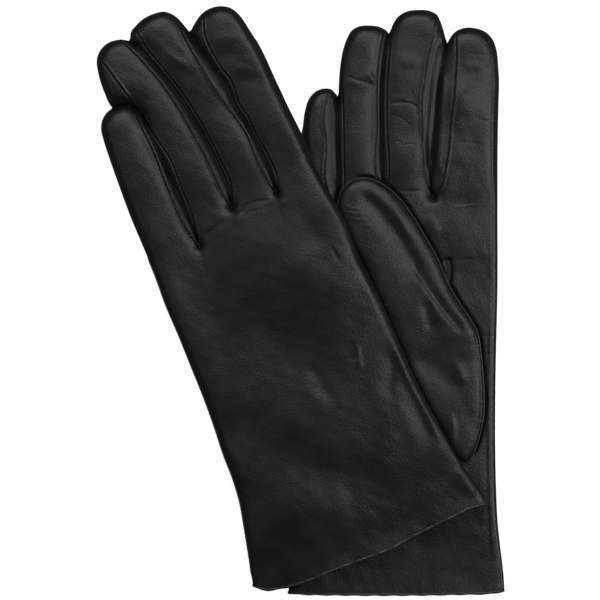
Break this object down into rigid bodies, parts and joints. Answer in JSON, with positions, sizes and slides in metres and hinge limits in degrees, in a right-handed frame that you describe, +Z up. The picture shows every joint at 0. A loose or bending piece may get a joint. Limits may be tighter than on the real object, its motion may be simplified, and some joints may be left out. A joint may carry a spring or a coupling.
{
  "type": "pair of leather dress gloves",
  "caption": "Pair of slim plain leather dress gloves laid flat and crossed: one back up over the other, which lies palm up with its thumb folded across the palm.",
  "frame": {"origin": "on the floor, at the middle of the pair seen from above", "axes": "+Y towards the fingertips, +Z up off the floor, +X towards the right glove"},
  "size_m": [0.1836, 0.2646, 0.0266],
  "materials": {
    "leather": "soft satin sheen",
    "lining": "matt knit"
  },
  "bodies": {
    "right_hand": {"right_hand_back": "leather", "right_hand_fourchette_little_ring": "leather", "right_hand_fourchette_middle_index": "leather", "right_hand_fourchette_ring_middle": "leather", "right_hand_hem": "leather", "right_hand_index_fold": "leather", "right_hand_lining": "lining", "right_hand_palm": "leather", "right_hand_side_seam": "leather", "right_quirk": "leather"},
    "right_index": {"right_index_back": "leather", "right_index_fourchette": "leather", "right_index_lining": "lining", "right_index_palm": "leather"},
    "right_middle": {"right_middle_back": "leather", "right_middle_fourchette": "leather", "right_middle_lining": "lining", "right_middle_palm": "leather"},
    "right_ring": {"right_ring_back": "leather", "right_ring_fourchette": "leather", "right_ring_lining": "lining", "right_ring_palm": "leather"},
    "right_little": {"right_little_back": "leather", "right_little_fourchette": "leather", "right_little_lining": "lining", "right_little_palm": "leather"},
    "right_thumb": {"right_thumb_edge": "leather", "right_thumb_lining": "lining", "right_thumb_over": "leather", "right_thumb_under": "leather"},
    "left_index": {"left_index_back": "leather", "left_index_fourchette": "leather", "left_index_lining": "lining", "left_index_palm": "leather"},
    "left_middle": {"left_middle_back": "leather", "left_middle_fourchette": "leather", "left_middle_lining": "lining", "left_middle_palm": "leather"},
    "left_ring": {"left_ring_back": "leather", "left_ring_fourchette": "leather", "left_ring_lining": "lining", "left_ring_palm": "leather"},
    "left_little": {"left_little_back": "leather", "left_little_fourchette": "leather", "left_little_lining": "lining", "left_little_palm": "leather"},
    "left_thumb": {"left_thumb_edge": "leather", "left_thumb_lining": "lining", "left_thumb_over": "leather", "left_thumb_under": "leather"},
    "left_hand": {"left_hand_back": "leather", "left_hand_fourchette_little_ring": "leather", "left_hand_fourchette_middle_index": "leather", "left_hand_fourchette_ring_middle": "leather", "left_hand_hem": "leather", "left_hand_index_fold": "leather", "left_hand_lining": "lining", "left_hand_palm": "leather", "left_hand_side_seam": "leather"}
  },
  "joints": [
    {"name": "right_index_bend", "type": "hinge", "parent": "right_hand", "child": "right_index", "pos_m": [0.074, 0.0576, 0.0094], "axis": [1, 0, 0], "range_deg": [0, 80]},
    {"name": "right_middle_bend", "type": "hinge", "parent": "right_hand", "child": "right_middle", "pos_m": [0.049, 0.0576, 0.0094], "axis": [1, 0, 0], "range_deg": [0, 80]},
    {"name": "right_ring_bend", "type": "hinge", "parent": "right_hand", "child": "right_ring", "pos_m": [0.028, 0.0576, 0.0094], "axis": [1, 0, 0], "range_deg": [0, 80]},
    {"name": "right_little_bend", "type": "hinge", "parent": "right_hand", "child": "right_little", "pos_m": [0.009, 0.0774, 0.0094], "axis": [1, 0, 0], "range_deg": [0, 80]},
    {"name": "right_thumb_swing", "type": "hinge", "parent": "right_hand", "child": "right_thumb", "pos_m": [0.0816, -0.009, 0.0095], "axis": [0, 1, 0], "range_deg": [0, 90]},
    {"name": "left_glove_lift", "type": "slide", "parent": "right_hand", "child": "left_hand", "axis": [0, 0, 1], "range_m": [0, 0.12]},
    {"name": "left_index_fold", "type": "hinge", "parent": "left_hand", "child": "left_index", "pos_m": [-0.00637, 0.06499, 0.02662], "axis": [0.8949, 0.4462, 0], "range_deg": [0, 75]},
    {"name": "left_middle_fold", "type": "hinge", "parent": "left_hand", "child": "left_middle", "pos_m": [-0.02462, 0.05588, 0.02017], "axis": [0.8949, 0.4462, 0], "range_deg": [0, 75]},
    {"name": "left_ring_fold", "type": "hinge", "parent": "left_hand", "child": "left_ring", "pos_m": [-0.04252, 0.04696, 0.01146], "axis": [0.8949, 0.4462, 0], "range_deg": [0, 75]},
    {"name": "left_little_fold", "type": "hinge", "parent": "left_hand", "child": "left_little", "pos_m": [-0.05838, 0.02453, 0.00942], "axis": [0.8949, 0.4462, 0], "range_deg": [0, 75]},
    {"name": "left_thumb_swing", "type": "hinge", "parent": "left_hand", "child": "left_thumb", "pos_m": [0.0372, -0.00939, 0.01705], "axis": [0.4462, -0.8949, 0], "range_deg": [0, 80]}
  ],
  "couplings": [
    {"joint": "left_thumb_swing", "follows": "left_glove_lift", "rad_per_m": 11.6}
  ]
}
